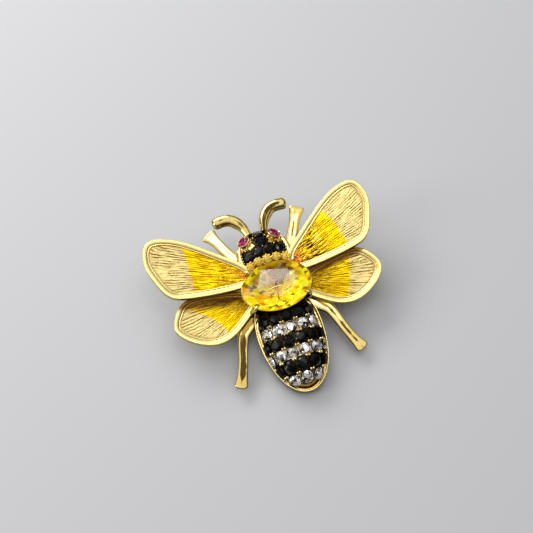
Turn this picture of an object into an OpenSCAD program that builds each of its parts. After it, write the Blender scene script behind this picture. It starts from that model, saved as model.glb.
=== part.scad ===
// A bee brooch: one gilt casting with four enamelled wings, a large oval stone on the
// thorax and rows of small round stones on the abdomen and the head.
// It lies face up, as it rests on its pin and on the tip of its abdomen.

/* [Wings] */
// From the middle line to a wing tip
half_span = 18.8; // [18:0.2:19.6]
// Thickness of a wing plate at its rim
plate_t = 0.9; // [0.8:0.05:1]
// Height of the forewings' underside over the flat back
fore_lift = 2.2; // [2:0.1:2.4]
// Height of the hindwings' underside over the flat back
hind_lift = 1; // [0.9:0.1:1.2]
// Angle at which the wings rise outwards
wing_rise = 3; // [1:0.5:5]
// Width of the flat rim round each wing
wing_rim = 0.75; // [0.6:0.05:0.9]
// Depth of the striped field below the rim
field_sink = 0.2; // [0.15:0.01:0.25]
// Thickness of the enamel below the stripes
enamel_t = 0.15; // [0.12:0.01:0.2]
// Height of the fine stripes
stripe_h = 0.12; // [0.08:0.01:0.15]
// Stripes across a forewing
fore_stripes = 16; // [12:1:18]
// Stripes across a hindwing
hind_stripes = 13; // [10:1:15]

/* [Thorax stone] */
// Length of the oval stone, across the bee
gem_l = 11.2; // [10.6:0.2:11.6]
// Width of the oval stone, along the bee
gem_w = 7.8; // [7.4:0.1:8.2]
// Distance of its middle from the middle of the wings, towards the tail
gem_back = 0.3; // [0.1:0.1:0.4]
// Height of its girdle over the flat back
girdle_z = 4.3; // [4.1:0.1:4.6]
// Thickness of its girdle
girdle_t = 0.3; // [0.2:0.05:0.4]

/* [Small stones] */
// Diameter of the stones on the abdomen
stone_d = 1.95; // [1.85:0.05:2]
// Gap between neighbouring stones
stone_gap = 0.1; // [0.08:0.01:0.16]
// Diameter of the stones on the head
head_stone_d = 1.8; // [1.6:0.05:1.8]
// Diameter of the eye stones
eye_d = 1.9; // [1.7:0.05:2]
// Clearance round every stone and enamel field
fit_gap = 0.04; // [0.03:0.01:0.06]

/* [Body] */
// Radius of the head
head_r = 4.15; // [4:0.05:4.3]
// Thickness of the raised rims of the head and the abdomen
rim_t = 0.35; // [0.3:0.05:0.45]
// Height of the abdomen's rim over the flat back
rim_z = 1.7; // [1.5:0.1:1.9]
// Height of the ledge on which the stone beds start
ledge_z = 1.1; // [1:0.05:1.3]
// Thickness of the legs
leg_t = 0.8; // [0.7:0.05:0.9]
// Width of the legs
leg_w = 1.3; // [1.1:0.05:1.4]
// Diameter of the antennae at their root
antenna_d = 1.2; // [1.05:0.05:1.3]

/* [Pin] */
// Length of the bar on the back
bar_l = 22; // [20:1:24]
// Height of the pin below the flat back
pin_drop = 3.4; // [3:0.1:3.8]
// Diameter of the pin's stem
stem_d = 0.9; // [0.8:0.05:1]

/* [Hidden] */
$fn = 24;

// Wing corners as shares of half_span: outwards, towards the head
fore_corners = [[0.16, 0.23], [0.38, 0.41], [0.63, 0.61], [0.82, 0.69], [0.95, 0.68],
    [1.01, 0.51], [0.96, 0.33], [0.89, 0.17], [0.77, 0.11], [0.37, 0.06], [0.13, 0.07]];
hind_corners = [[0.21, 0.04], [0.54, 0.12], [0.77, 0.13], [0.88, 0.02], [0.93, -0.11],
    [0.82, -0.24], [0.64, -0.33], [0.47, -0.31], [0.3, -0.19], [0.17, -0.08]];
curve_steps = 4;

// A wing as corners, height of its underside, stripe fan's centre, its first and last
// angle, number of stripes, and radius of the enamel's outer edge about that centre
fore_wing = [fore_corners, fore_lift, [-0.24, 0.01], 3, 37, fore_stripes, 0.94];
hind_wing = [hind_corners, hind_lift, [0.11, 0.01], -62, 16, hind_stripes, 0.52];
CORNERS = 0;
UNDERSIDE = 1;
FAN = 2;
FIRST = 3;
LAST = 4;
COUNT = 5;
ENAMEL = 6;
wing_tables = [fore_wing, hind_wing];
wing_names = ["fore", "hind"];
sides = [-1, 1];
side_names = ["left", "right"];
enamel_rim = wing_rim + fit_gap;
field_margin = 0.15;
field_rim = wing_rim + field_margin;
stripe_share = 0.55;

// Oval stone
gem_a = gem_l / 2;
gem_b = gem_w / 2;
gem_crown = 0.17 * gem_w;
gem_depth = 0.42 * gem_w;
gem_table = 0.58;
prong_d = 0.85;

// Abdomen: stones in each row from the thorax to the tail, dark and clear by turns
row_counts = [5, 5, 6, 6, 5, 3];
stone_pitch = stone_d + stone_gap;
row_pitch = stone_d + 0.5 * stone_gap;
dome_half = 2.29 * stone_pitch;
dome_rise = 1.42 * stone_pitch;
rim_gap = 0.2;
first_row = -gem_b - 0.62 * stone_d;
last_row = first_row - (len(row_counts) - 1) * row_pitch;
belly_top = -0.09 * gem_b;
dome_end = last_row - 0.8 * stone_d;
dome_mid = (belly_top + dome_end) / 2;
dome_len = (belly_top - dome_end) / 2;
tail_y = dome_end - rim_gap - rim_t;
egg_power = 2.3;
egg_skew = 0.1;
bed_drop = 0.12;
bed_foot = 0.2;
claw_d = 0.45;
claw_h = 0.65;
claw_sink = 0.4;

// Head: seats of its stones as shares of head_r, from its middle
head_y = gem_b + 0.47 * head_r;
head_bed = head_r - rim_t - fit_gap;
head_rise = 0.63 * head_r;
head_base = ledge_z + 0.4;
head_seats = [[0, 0.8], [0, 0.425], [-0.232, 0.02], [0.232, 0.02], [-0.64, -0.04],
    [0.64, -0.04]];
eye_seat = [0.615, 0.65];
eye_z = 2.6;
eye_turn = 51;
eye_tilt = 40;
cup_wall = 0.18;
cup_h = 1.5;
cheek_z = 2.3;
cheek_front = 0.42;

// Root of an antenna as shares of head_r, from the head's middle
antenna_root = [0.32, 0.855, 0.41];

// Limbs as shares of half_span, outwards, towards the head and upwards; the last value of
// a leg's row is its width as a share of leg_w
antenna_path = [[0.08, 0.565, 0.08], [0.12, 0.65, 0.07], [0.2, 0.72, 0.065], [0.285, 0.71, 0.06]];
front_path = [[0.18, 0.22, 0.075, 1.2], [0.3, 0.425, 0.09, 1], [0.355, 0.54, 0.1, 0.95]];
front_toe = [0.39, 0.6, 0.1];
haunch_path = [[0.18, -0.04, 0.043, 2], [0.28, -0.19, 0.043, 1.9], [0.383, -0.293, 0.048, 1.2]];
rear_path = [[0.355, -0.245, 0.048, 1], [0.383, -0.293, 0.048, 1.1],
    [0.42, -0.405, 0.048, 1], [0.45, -0.51, 0.048, 0.95], [0.495, -0.62, 0.048, 1]];
rear_toe = [0.525, -0.685, 0.048];
tip_swell = 1.3;

// Shoulders under the wing roots, from under the thorax outwards, as shares of half_span
fore_shoulder = [[0.14, 0.12], [0.3, 0.17]];
hind_shoulder = [[0.15, -0.05], [0.3, -0.04]];
shoulder_r = 1.1;
shoulder_t = 0.9;
shoulder_z = 0.4;

// Claws and collar of the oval stone
bowl_foot = 0.82;
bowl_edge = 0.93;
bowl_t = 0.1;
bowl_z = girdle_z - 0.4;
prong_root = 1.2;
prong_bend = girdle_z - 0.3;
prong_lap = 0.35;
petals = 5;
petal_d = 1.2;
petal_step = 12;
petal_foot = 0.5;
petal_z = girdle_z - 0.2;
petal_lip = 0.35;
bead_d = 0.4;
bead_z = girdle_z - 0.5;

// Pin: blocks under both ends of a flat bar, and a stem between them
pin_y = 3.6;
bar_w = 2.2;
bar_t = 0.7;
block_l = 2.4;
stem_lift = 1.1;

// Rest: the tail's edge and the pin's lower edges touch the ground
rest_tilt = atan(pin_drop / (pin_y - bar_w / 2 - tail_y));
rest_z = -tail_y * sin(rest_tilt);
antenna_end = antenna_path[len(antenna_path) - 1] * half_span;
front_y = antenna_end[1] * cos(rest_tilt) - antenna_end[2] * sin(rest_tilt)
    + 0.48 * antenna_d * tip_swell;
back_y = tail_y * cos(rest_tilt) - rim_z * sin(rest_tilt);

belly_stones = [for (r = [0 : len(row_counts) - 1]) for (i = [1 : row_counts[r]])
    [str("stone_", r + 1, "_", i), r, i]];

gold = [0.86, 0.69, 0.3];
enamel_yellow = [0.98, 0.72, 0.02];
jet = [0.04, 0.04, 0.05];
crystal = [0.88, 0.9, 0.93];
fuchsia = [0.85, 0.1, 0.55];
citrine = [0.98, 0.85, 0.1];

// A closed smooth curve that touches the middle of each side of its corner polygon
function smooth_loop(c) = [for (i = [0 : len(c) - 1]) for (k = [0 : curve_steps - 1])
    let (a = c[(i + len(c) - 1) % len(c)], b = c[i], d = c[(i + 1) % len(c)],
        t = k / curve_steps)
    (a + b) / 2 * pow(1 - t, 2) + 2 * b * t * (1 - t) + (b + d) / 2 * pow(t, 2)];

// An open smooth curve through the first and the last point
function smooth_path(c) = concat([c[0]],
    [for (i = [1 : len(c) - 2]) for (k = [0 : curve_steps])
        if (k < curve_steps || i == len(c) - 2)
        let (a = i == 1 ? c[0] : (c[i - 1] + c[i]) / 2, b = c[i],
            d = i == len(c) - 2 ? c[i + 1] : (c[i] + c[i + 1]) / 2, t = (k + 0.5) / (curve_steps + 1))
        a * pow(1 - t, 2) + 2 * b * t * (1 - t) + d * pow(t, 2)],
    [c[len(c) - 1]]);

// A clockwise loop moved inwards by d
function inset(p, d) = [for (i = [0 : len(p) - 1])
    let (t = p[(i + 1) % len(p)] - p[(i + len(p) - 1) % len(p)])
    p[i] + d / norm(t) * [t[1], -t[0]]];

function unit(v) = v / norm(v);

// Where a claw crosses the oval stone's edge, from that stone's middle, and its way outwards
function prong_edge(s, t) = let (u = t > 0 ? 50 : 43) [s * gem_a * cos(u), t * gem_b * sin(u)];
function prong_way(s, t) = unit(prong_edge(s, t));

// Egg shape of the abdomen: from -1 at the tail to 1 under the thorax
function along(y) = (y - dome_mid) / dome_len;
function swell(y) = sqrt(max(0, 1 - pow(abs(along(y)), egg_power)));
function half_at(y) = dome_half * swell(y) * (1 + egg_skew * along(y));
function belly_z(x, y) = ledge_z + dome_rise * swell(y) * sqrt(max(0, 1 - pow(x / half_at(y), 2)));
function head_z(x, y) = ledge_z + head_rise
    * sqrt(max(0, 1 - (pow(x, 2) + pow(y - head_y, 2)) / pow(head_bed, 2)));

// Upward normal of a bed whose height is z(x, y)
function bed_normal(z, x, y) = let (e = 0.01)
    unit([z(x - e, y) - z(x + e, y), z(x, y - e) - z(x, y + e), 2 * e]);

// Sideways place of a point on a half ellipse, a by b, after the length s from its crest
function arc_x(a, b, s, u = 0, run = 0) = let (step = 0.5) run >= s || u > 88
    ? a * sin(u)
    : arc_x(a, b, s, u + step,
        run + step * PI / 180 * sqrt(pow(a * cos(u), 2) + pow(b * sin(u), 2)));

// Seat of a stone as point and normal
function belly_seat(r, i) =
    let (y = first_row - r * row_pitch, s = (i - (row_counts[r] + 1) / 2) * stone_pitch,
        x = sign(s) * arc_x(half_at(y), dome_rise * swell(y), abs(s)))
    [[x, y, belly_z(x, y)], bed_normal(function(x, y) belly_z(x, y), x, y)];
function head_seat(k) =
    let (x = head_seats[k][0] * head_r, y = head_y + head_seats[k][1] * head_r)
    [[x, y, head_z(x, y)], bed_normal(function(x, y) head_z(x, y), x, y)];
function eye_place(s) = [[s * eye_seat[0] * head_r, head_y + eye_seat[1] * head_r, eye_z],
    [s * cos(eye_turn) * sin(eye_tilt), sin(eye_turn) * sin(eye_tilt), cos(eye_tilt)]];

module placed() {
    translate([0, -(front_y + back_y) / 2, rest_z]) rotate([rest_tilt, 0, 0]) children();
}

module seated(place) {
    n = place[1];
    translate(place[0]) rotate([0, acos(n[2]), atan2(n[1], n[0])]) children();
}

// A wing's plane: x outwards, y towards the head, z upwards from its underside
module wing_plane(side, wing) {
    mirror([side < 0 ? 1 : 0, 0, 0]) translate([0, 0, wing[UNDERSIDE]])
        rotate([0, -wing_rise, 0]) children();
}

// A cut stone: a table, stars, kites, a thin girdle and a pointed pavilion
module brilliant(a, b, crown, depth, girdle, table, mains = 8) {
    step = 360 / mains;
    star = (1 + table) / 2;
    star_z = crown * (1 - star * cos(step / 2)) / (1 - table);
    function ring(n, r, z, turn = 0) = [for (i = [0 : n - 1])
        [a * r * cos(i * 360 / n + turn), b * r * sin(i * 360 / n + turn), z]];
    points = concat(ring(mains, table, crown + girdle), ring(mains, star, star_z + girdle, step / 2),
        ring(2 * mains, 1, girdle), ring(2 * mains, 1, 0), [[0, 0, -depth]]);
    s0 = mains;
    g0 = 2 * mains;
    l0 = 4 * mains;
    tip = 6 * mains;
    faces = concat([[for (i = [mains - 1 : -1 : 0]) i]],
        [for (i = [0 : mains - 1]) let (j = (i + 1) % mains, h = (i + mains - 1) % mains,
            g = g0 + 2 * i, g1 = g + 1, g2 = g0 + (2 * i + 2) % (2 * mains))
            each [[i, j, s0 + i], [i, s0 + i, g], [i, g, s0 + h], [s0 + i, g1, g], [s0 + i, g2, g1]]],
        [for (i = [0 : 2 * mains - 1]) let (j = (i + 1) % (2 * mains))
            each [[g0 + i, g0 + j, l0 + j, l0 + i], [l0 + i, l0 + j, tip]]]);
    polyhedron(points, faces);
}

module round_stone(d) {
    brilliant(d / 2, d / 2, 0.15 * d, 0.4 * d, 0.04 * d, 0.56);
}

// Room for a round stone in its bed: a cone below the girdle and a short shaft above it
module stone_seat(d) {
    r = d / 2 + fit_gap;
    depth = 0.4 * d + 2 * fit_gap;
    rotate(22.5) translate([0, 0, -depth])
        cylinder(h = depth, r1 = 0.05, r2 = r / cos(22.5), $fn = 8);
    translate([0, 0, -0.01]) cylinder(h = 0.22 * d, r = r, $fn = 16);
}

module oval(share, grow = 0) {
    translate([0, -gem_back]) polygon([for (i = [0 : 31]) let (u = i * 360 / 32)
        [(gem_a * share + grow) * cos(u), (gem_b * share + grow) * sin(u)]]);
}

// Striped field inside a wing's rim, clear of the thorax and the abdomen
module wing_field(wing, rim) {
    difference() {
        polygon(inset(smooth_loop(wing[CORNERS] * half_span), rim));
        oval(0.97, field_margin + rim - wing_rim);
        for (t = sides) translate(prong_edge(1, t) - [0, gem_back])
            circle(d = 1.5 * prong_d + 2 * (rim - wing_rim), $fn = 16);
        polygon(inset(belly_edge(), wing_rim - rim - field_margin - rim_t - rim_gap));
    }
}

function belly_edge() = [for (i = [0 : 39]) let (y = dome_mid + dome_len * cos(9 * i))
    [(i < 20 ? 1 : -1) * half_at(y), y]];

module enamel_area(wing, grow) {
    centre = wing[FAN] * half_span;
    radius = wing[ENAMEL] * half_span + grow;
    translate(centre) polygon(concat([[0, 0]],
        [for (u = [-80 : 8 : 80]) radius * [cos(u), sin(u)]]));
}

module stripes(wing) {
    pitch = (wing[LAST] - wing[FIRST]) / wing[COUNT];
    reach = 1.3 * half_span;
    translate(wing[FAN] * half_span) for (i = [0 : wing[COUNT] - 1])
        let (u = wing[FIRST] + (i + 0.5) * pitch, du = pitch * stripe_share / 2)
        polygon([[0, 0], reach * [cos(u - du), sin(u - du)], reach * [cos(u + du), sin(u + du)]]);
}

module wing_plate(wing) {
    floor_z = plate_t - field_sink;
    difference() {
        linear_extrude(plate_t) polygon(smooth_loop(wing[CORNERS] * half_span));
        translate([0, 0, floor_z]) linear_extrude(plate_t) wing_field(wing, wing_rim);
        translate([0, 0, floor_z - enamel_t]) linear_extrude(plate_t) intersection() {
            wing_field(wing, enamel_rim);
            enamel_area(wing, 0);
        }
    }
    translate([0, 0, floor_z - enamel_t / 2]) linear_extrude(enamel_t / 2 + stripe_h) difference() {
        intersection() {
            wing_field(wing, field_rim);
            stripes(wing);
        }
        enamel_area(wing, fit_gap);
    }
}

module enamel(side, wing) {
    floor_z = plate_t - field_sink;
    color(enamel_yellow) placed() wing_plane(side, wing) {
        translate([0, 0, floor_z - enamel_t + fit_gap]) linear_extrude(enamel_t - fit_gap)
            intersection() {
                wing_field(wing, enamel_rim + fit_gap);
                enamel_area(wing, -fit_gap);
            }
        translate([0, 0, floor_z - enamel_t / 2]) linear_extrude(enamel_t / 2 + stripe_h)
            intersection() {
                wing_field(wing, field_rim);
                enamel_area(wing, -2 * fit_gap);
                stripes(wing);
            }
    }
}

// A bar swept along stations of [point, width, thickness], with chamfered edges
module limb(stations) {
    count = len(stations);
    corners = [[0.5, -0.2], [0.5, 0.2], [0.3, 0.5], [-0.3, 0.5], [-0.5, 0.2], [-0.5, -0.2],
        [-0.3, -0.5], [0.3, -0.5]];
    n = len(corners);
    function heading(i) = unit(stations[min(i + 1, count - 1)][0] - stations[max(i - 1, 0)][0]);
    points = [for (i = [0 : count - 1]) let (across = unit(cross(heading(i), [0, 0, 1])),
        up = cross(across, heading(i))) for (c = corners)
        stations[i][0] + c[0] * stations[i][1] * across + c[1] * stations[i][2] * up];
    polyhedron(points, concat([[for (k = [n - 1 : -1 : 0]) k]],
        [for (i = [0 : count - 2]) for (k = [0 : n - 1]) let (j = (k + 1) % n)
            [i * n + k, i * n + j, (i + 1) * n + j, (i + 1) * n + k]],
        [[for (k = [0 : n - 1]) (count - 1) * n + k]]));
}

module antenna() {
    path = smooth_path(concat([[0, head_y, 0] + antenna_root * head_r], antenna_path * half_span));
    last = len(path) - 1;
    limb([for (i = [0 : last]) let (d = antenna_d * (1 + (tip_swell - 1) * i / last))
        [path[i], d, d]]);
    translate(antenna_end) scale([0.7, 1, 1]) sphere(d = antenna_d * tip_swell, $fn = 12);
}

function place_of(p) = [p[0], p[1], p[2]] * half_span;

// A leg along a path, with a foot of two low knuckles where it has a toe
module leg(path, toe) {
    ankle = place_of(path[len(path) - 1]);
    module disc(p, share) {
        translate(p) cylinder(h = leg_t, d = leg_w * share, center = true, $fn = 10);
    }
    limb([for (p = path) [place_of(p), leg_w * p[3], leg_t]]);
    if (!is_undef(toe)) let (end = place_of(toe), across = cross(unit(end - ankle), [0, 0, leg_w]))
        for (s = sides) hull() {
            disc(ankle, 0.85);
            disc(end - s * across * 0.2, 0.6);
            disc(end + s * across * 0.5, 0.62);
        }
}

// Claw over the oval stone's edge: side s, towards the head or the tail by t
module prong(s, t) {
    away = prong_way(s, t);
    side = prong_edge(s, t);
    post = side + away * (prong_d / 2 + 2 * fit_gap);
    top_z = girdle_z + girdle_t + prong_lap;
    module ball(p, z, share) {
        translate([p[0], p[1] - gem_back, z]) sphere(d = prong_d * share, $fn = 8);
    }
    hull() {
        ball(side * 0.8, prong_root, 1.15);
        ball(post, prong_bend, 1);
    }
    hull() {
        ball(post, prong_bend, 1);
        ball(post, top_z, 0.88);
    }
    hull() {
        ball(post, top_z, 0.88);
        ball(side - away * prong_lap, top_z + prong_lap / 2, 0.7);
    }
}

// Scalloped petals with small beads, between the thorax stone and the head
module collar() {
    reach = petal_d / 2 + 2 * fit_gap;
    for (k = [0 : petals - 1]) let (u = 90 + petal_step * (k - (petals - 1) / 2),
        p = [(gem_a + reach) * cos(u), (gem_b + reach) * sin(u) - gem_back, 0], away = unit(p)) {
        hull() {
            translate(p + [0, 0, petal_foot])
                cylinder(h = petal_z - petal_foot, d = petal_d, $fn = 10);
            translate(p + away * petal_d / 12 + [0, 0, petal_z])
                cylinder(h = petal_lip, d = petal_d * 0.6, $fn = 10);
        }
        for (b = [-1 : 1])
            translate(p + (away + [away[1], -away[0], 0] * b) * petal_d * 0.32
                + [0, 0, bead_z])
                cylinder(h = 1.5 * bead_d, d1 = bead_d, d2 = bead_d / 2, $fn = 6);
    }
}

// Bowl under the oval stone, with its claws
module thorax() {
    hull() {
        linear_extrude(bowl_t) oval(bowl_foot);
        translate([0, 0, bowl_z - bowl_t]) linear_extrude(bowl_t) oval(bowl_edge);
    }
    for (s = sides) for (t = sides) prong(s, t);
}

// Carries a wing on the thorax
module shoulder(wing, ends) {
    module pad(p, z) {
        translate([p[0] * half_span, p[1] * half_span, z])
            cylinder(h = shoulder_t, r = shoulder_r, $fn = 10);
    }
    hull() {
        pad(ends[0], shoulder_z);
        pad(ends[1], wing[UNDERSIDE] + plate_t / 2 - shoulder_t);
    }
}

// Room for the oval stone: it follows the crown, so that the claws lap over the stone's edge
module gem_room() {
    hull() {
        translate([0, 0, girdle_z]) linear_extrude(girdle_t + 2 * fit_gap) oval(1, 2 * fit_gap);
        translate([0, 0, girdle_z + girdle_t]) linear_extrude(gem_crown + 2 * fit_gap)
            oval(gem_table, 2 * fit_gap);
        translate([0, -gem_back, girdle_z - gem_depth - 3 * fit_gap])
            cylinder(h = 0.1, r = 0.15, $fn = 8);
    }
}

module head() {
    translate([0, head_y, 0]) {
        cylinder(h = head_base, r = head_r);
        hull() for (u = [0 : 18 : 90])
            translate([0, 0, ledge_z + head_rise * sin(u) - bed_drop])
            cylinder(h = 0.01, r = max(0.1, head_bed * cos(u)));
        // Cheeks: raised rims from the eyes back to the thorax
        difference() {
            cylinder(h = cheek_z, r = head_r);
            translate([0, 0, ledge_z]) cylinder(h = cheek_z, r = head_r - rim_t);
            translate([-head_r, cheek_front * head_r, 0]) cube([2 * head_r, head_r, cheek_z]);
        }
    }
    for (s = sides) seated(eye_place(s))
        translate([0, 0, 0.1 - cup_h]) cylinder(h = cup_h, r = eye_d / 2 + cup_wall, $fn = 16);
}

module abdomen() {
    difference() {
        linear_extrude(rim_z) polygon(inset(belly_edge(), -rim_gap - rim_t));
        translate([0, 0, ledge_z]) linear_extrude(rim_z) polygon(inset(belly_edge(), -rim_gap));
    }
    hull() for (k = [0 : 10]) let (y = dome_mid + 0.995 * dome_len * cos(k * 18))
        translate([0, y, ledge_z - bed_drop - bed_foot]) rotate([90, 0, 0]) linear_extrude(0.01)
        polygon([for (u = [-90 : 15 : 90])
            [half_at(y) * sin(u), bed_foot + dome_rise * swell(y) * cos(u)]]);
}

// Bead claws between the stones of the abdomen
module claws() {
    for (r = [0 : len(row_counts) - 2]) let (y = first_row - (r + 0.5) * row_pitch,
        n = min(row_counts[r], row_counts[r + 1]) - (row_counts[r] == row_counts[r + 1] ? 1 : 0))
        for (i = [1 : n]) let (s = (i - (n + 1) / 2) * stone_pitch,
            x = sign(s) * arc_x(half_at(y), dome_rise * swell(y), abs(s)))
            seated([[x, y, belly_z(x, y)], bed_normal(function(x, y) belly_z(x, y), x, y)])
            translate([0, 0, -claw_sink]) cylinder(h = claw_h, d1 = claw_d, d2 = claw_d * 2 / 3, $fn = 6);
}

module frame() {
    color(gold) placed() difference() {
        union() {
            for (s = sides) {
                for (w = wing_tables) wing_plane(s, w) wing_plate(w);
                mirror([s < 0 ? 1 : 0, 0, 0]) {
                    antenna();
                    leg(front_path, front_toe);
                    leg(haunch_path);
                    leg(rear_path, rear_toe);
                    shoulder(fore_wing, fore_shoulder);
                    shoulder(hind_wing, hind_shoulder);
                }
            }
            thorax();
            collar();
            head();
            abdomen();
            claws();
        }
        gem_room();
        for (k = [0 : len(head_seats) - 1]) seated(head_seat(k)) stone_seat(head_stone_d);
        for (s = sides) seated(eye_place(s)) stone_seat(eye_d);
        for (b = belly_stones) seated(belly_seat(b[1], b[2])) stone_seat(stone_d);
    }
}

// Hidden fitting on the back: a bar with a hinge block, a catch and the stem between them
module pin() {
    post_x = (bar_l - block_l) / 2;
    color(gold) placed() translate([0, pin_y, -fit_gap]) {
        translate([-bar_l / 2, -bar_w / 2, -bar_t]) cube([bar_l, bar_w, bar_t]);
        for (s = sides) translate([s * post_x - block_l / 2, -bar_w / 2, fit_gap - pin_drop])
            cube([block_l, bar_w, pin_drop - bar_t / 2]);
        translate([-post_x, 0, fit_gap - pin_drop + stem_lift]) rotate([0, 90, 0])
            cylinder(h = 2 * post_x, d = stem_d);
    }
}

module gem() {
    color(citrine) placed() translate([0, -gem_back, girdle_z])
        brilliant(gem_a, gem_b, gem_crown, gem_depth, girdle_t, gem_table);
}

module small_stone(place, d, tint) {
    color(tint) placed() seated(place) round_stone(d);
}

frame();
pin();
gem();
for (s = [0, 1]) {
    for (w = [0, 1])
        enamel(sides[s], wing_tables[w]);
    small_stone(eye_place(sides[s]), eye_d, fuchsia);
}
for (k = [0 : len(head_seats) - 1])
    small_stone(head_seat(k), head_stone_d, jet);
for (b = belly_stones)
    small_stone(belly_seat(b[1], b[2]), stone_d, b[1] % 2 == 0 ? jet : crystal);
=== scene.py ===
# %% [markdown]
# # A bee brooch, piece by piece
# The real brooch is one gilt casting. Glass stones are set into it, and its four wings are
# partly filled with yellow enamel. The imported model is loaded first: it fixes the place and
# the size of every stone. Each later cell dresses or replaces one part of it.

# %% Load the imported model
import math
import bpy
import bmesh
from mathutils import Matrix, Vector, noise


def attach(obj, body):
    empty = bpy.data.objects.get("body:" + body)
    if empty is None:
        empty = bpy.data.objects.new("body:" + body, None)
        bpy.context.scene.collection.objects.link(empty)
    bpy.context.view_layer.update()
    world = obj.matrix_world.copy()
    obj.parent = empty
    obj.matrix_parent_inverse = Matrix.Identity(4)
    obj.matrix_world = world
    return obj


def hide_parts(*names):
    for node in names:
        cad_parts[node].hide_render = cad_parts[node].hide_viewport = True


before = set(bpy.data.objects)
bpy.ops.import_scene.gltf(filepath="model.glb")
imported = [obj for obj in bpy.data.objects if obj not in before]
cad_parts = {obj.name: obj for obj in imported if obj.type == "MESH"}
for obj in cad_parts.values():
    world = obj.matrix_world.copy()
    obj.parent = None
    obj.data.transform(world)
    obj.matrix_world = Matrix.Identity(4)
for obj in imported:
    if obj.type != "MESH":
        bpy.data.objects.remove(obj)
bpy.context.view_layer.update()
scene = bpy.context.scene
print("nodes:", len(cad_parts))

# %% [markdown]
# ## Two frames of reference
# A jeweller draws the bee flat, in millimetres: x across, y towards the head, z up from the
# flat back. The finished brooch lies a little tilted, because it rests on its pin and on the
# tip of its abdomen. One matrix takes each piece from the drawing to its place, so all the
# modelling below can be done flat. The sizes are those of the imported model.

# %% The flat drawing and its place on the table
mm = 0.001
half_span, gem_b = 18.8, 3.9
stone_d, stone_gap = 1.95, 0.1
row_counts = [5, 5, 6, 6, 5, 3]
rim_z, rim_t, rim_gap = 1.7, 0.35, 0.2
antenna_d, tip_swell, tip_y, tip_z = 1.2, 1.3, 0.71, 0.06
pin_y, bar_w, pin_drop = 3.6, 2.2, 3.4
row_pitch = stone_d + 0.5 * stone_gap
first_row = -gem_b - 0.62 * stone_d
dome_end = first_row - (len(row_counts) - 1) * row_pitch - 0.8 * stone_d
tail_y = dome_end - rim_gap - rim_t

tilt = math.atan(pin_drop / (pin_y - bar_w / 2 - tail_y))
rest_z = -tail_y * math.sin(tilt)
front_y = ((tip_y * math.cos(tilt) - tip_z * math.sin(tilt)) * half_span
           + 0.48 * antenna_d * tip_swell)
back_y = tail_y * math.cos(tilt) - rim_z * math.sin(tilt)
middle_y = (front_y + back_y) / 2
place = (Matrix.Scale(mm, 4) @ Matrix.Translation((0, -middle_y, rest_z))
         @ Matrix.Rotation(tilt, 4, "X"))
side_names = {-1: "left", 1: "right"}
print("tilt", round(math.degrees(tilt), 2), "degrees, raised", round(rest_z, 2), "mm")

# %% [markdown]
# ## The camera
# The photograph looks down steeply on the back of the bee, from behind and a little from its
# left. The camera's three axes come from a turn about the upright axis, a raised eye and a
# small roll of the brooch. It stands close, so the near end is a little larger.

# %% Camera at the photograph's angle
def seen(p, turn=math.radians(18.4), height=math.radians(63.5), roll=math.radians(-2.25)):
    x0 = p[0] * math.cos(roll) + p[2] * math.sin(roll)
    z = -p[0] * math.sin(roll) + p[2] * math.cos(roll)
    x = x0 * math.cos(turn) - p[1] * math.sin(turn)
    y = x0 * math.sin(turn) + p[1] * math.cos(turn)
    return Vector((x, y * math.sin(height) + z * math.cos(height),
                   -y * math.cos(height) + z * math.sin(height)))


axes = Matrix([seen(v) for v in ((1, 0, 0), (0, 1, 0), (0, 0, 1))])
cam_distance, px_per_mm, picture_px, film_mm = 160.0, 6.185, 533, 36
off_centre_x, off_centre_y = -2.0679, 6.6508
camera = bpy.data.objects.new("camera", bpy.data.cameras.new("camera"))
camera.data.lens = film_mm * cam_distance * px_per_mm / picture_px
camera.data.clip_start, camera.data.clip_end = 0.005, 10
stand = axes @ Vector((off_centre_x, off_centre_y, cam_distance))
camera.matrix_world = Matrix.Translation(stand * mm) @ axes.to_4x4()
scene.collection.objects.link(camera)
scene.camera = camera
print("lens", round(camera.data.lens, 1), "mm at", [round(c, 1) for c in stand])

# %% [markdown]
# ## Small tools for shader nodes
# A finish is a tree of nodes. A few functions that each make one node or one small effect
# let every finish below read as a list of effects.

# %% One node and its inputs
def feed(tree, socket, source):
    """An input takes a link from another node or a plain value."""
    if isinstance(source, bpy.types.NodeSocket):
        tree.links.new(source, socket)
    else:
        socket.default_value = source


def wire(tree, n, **inputs):
    for key, source in inputs.items():
        feed(tree, n.inputs[key.replace("_", " ")], source)


def node(tree, kind, *values, **named):
    """A name is a setting of the node or else an input; the values fill its first inputs."""
    n = tree.nodes.new("ShaderNode" + kind)
    for key in [k for k in named if hasattr(n, k)]:
        setattr(n, key, named.pop(key))
    wire(tree, n, **named)
    for socket, source in zip(n.inputs, values):
        feed(tree, socket, source)
    return n


def material(name):
    m = bpy.data.materials.new(name)
    m.use_nodes = True
    return m, m.node_tree, m.node_tree.nodes["Principled BSDF"]


print("tools:", [f.__name__ for f in (feed, wire, node, material)])

# %% [markdown]
# ## Floor and light
# Gold and cut glass have hardly any colour of their own in a shadow: they show what stands
# round them. A broad soft panel overhead gives the pale sheen on the wings and the light
# patch on the table of the oval stone. A panel behind and one at the left draw the edges,
# and the grey surroundings leave dark lines in the polished parts.

# %% Pale floor
def in_place(tree):
    return node(tree, "TexCoord").outputs["Object"]


def cloud(tree, scale, detail):
    return node(tree, "TexNoise", Vector=in_place(tree), Scale=scale, Detail=detail).outputs["Fac"]


def bumps(tree, height, strength, distance):
    return node(tree, "Bump", Height=height, Strength=strength,
                Distance=distance).outputs["Normal"]


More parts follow.
